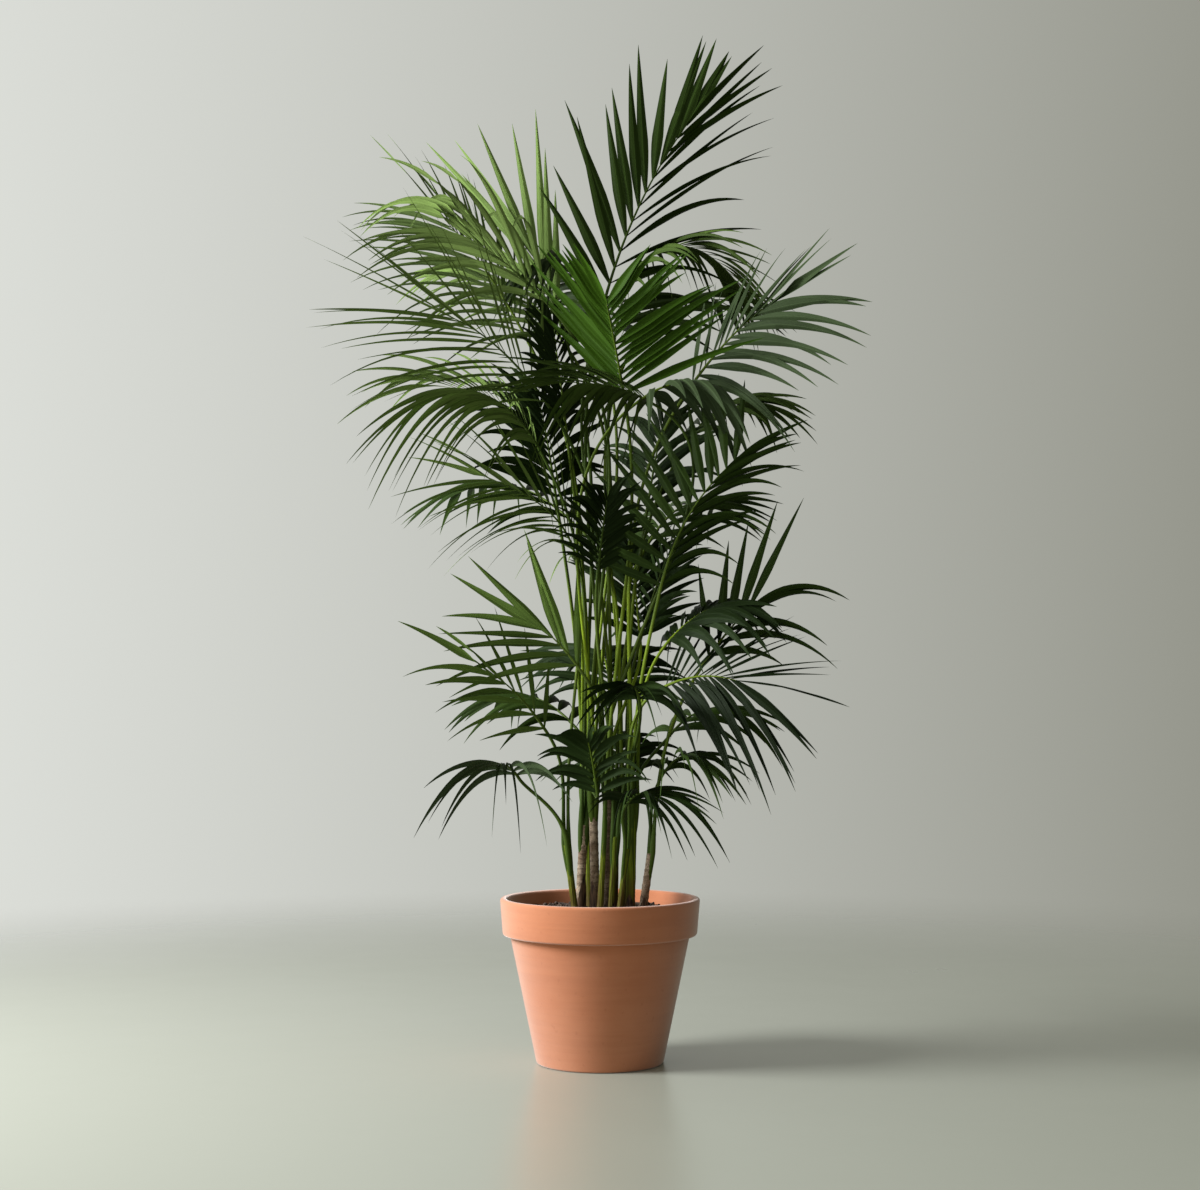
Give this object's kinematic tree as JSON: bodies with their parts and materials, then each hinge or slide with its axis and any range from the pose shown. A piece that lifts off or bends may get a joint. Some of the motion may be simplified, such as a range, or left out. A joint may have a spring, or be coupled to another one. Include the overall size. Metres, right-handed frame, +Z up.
{
  "type": "kentia palm in a terracotta pot",
  "caption": "Bushy kentia palm with arching feathery fronds on ringed canes, in a round tapered terracotta pot.",
  "frame": {"origin": "centre of the flat underside of the pot, on the floor", "axes": "+Z up, -Y towards the side that the picture shows, +X to the right in it"},
  "size_m": [1.0372, 0.7871, 1.9277],
  "materials": {
    "terracotta": "matte fired clay",
    "soil": "damp crumbly potting soil",
    "bark": "dry ringed cane",
    "sheath": "smooth fibrous leaf sheath",
    "frond": "satin leaf"
  },
  "bodies": {
    "root": {"pot": "terracotta", "soil": "soil", "cane_1": "sheath", "cane_2": "bark", "cane_3": "bark", "cane_4": "sheath", "cane_5": "sheath", "cane_6": "sheath", "cane_7": "sheath", "cane_8": "bark", "cane_9": "sheath", "cane_10": "bark", "cane_11": "sheath", "cane_12": "sheath", "cane_13": "sheath", "frond_top_right": "frond", "frond_top_left": "frond", "frond_top_left_tall": "frond", "frond_left_mid": "frond", "frond_left_droop": "frond", "frond_left_low": "frond", "frond_low_left_upper": "frond", "frond_low_left": "frond", "frond_lowest_left": "frond", "frond_right_behind": "frond", "frond_right_out": "frond", "frond_front_bright": "frond", "frond_right_front": "frond", "frond_right_far": "frond", "frond_right_fan": "frond", "frond_low_right": "frond", "frond_low_right_back": "frond", "frond_crest_back": "frond", "frond_centre_front": "frond", "frond_right_back": "frond", "frond_centre_back": "frond", "frond_centre_low": "frond", "frond_low_centre": "frond", "frond_left_back": "frond", "frond_right_dark": "frond", "frond_centre_dark": "frond", "frond_right_hang": "frond", "frond_inner_low": "frond", "frond_inner_left": "frond", "frond_inner_top": "frond", "frond_low_back": "frond", "frond_inner_right": "frond", "frond_back_top_left": "frond", "frond_back_top": "frond", "frond_back_top_right": "frond", "frond_back_mid_left": "frond", "frond_back_mid_right": "frond", "frond_back_low": "frond", "frond_back_low_left": "frond", "frond_back_low_right": "frond"}
  },
  "joints": []
}
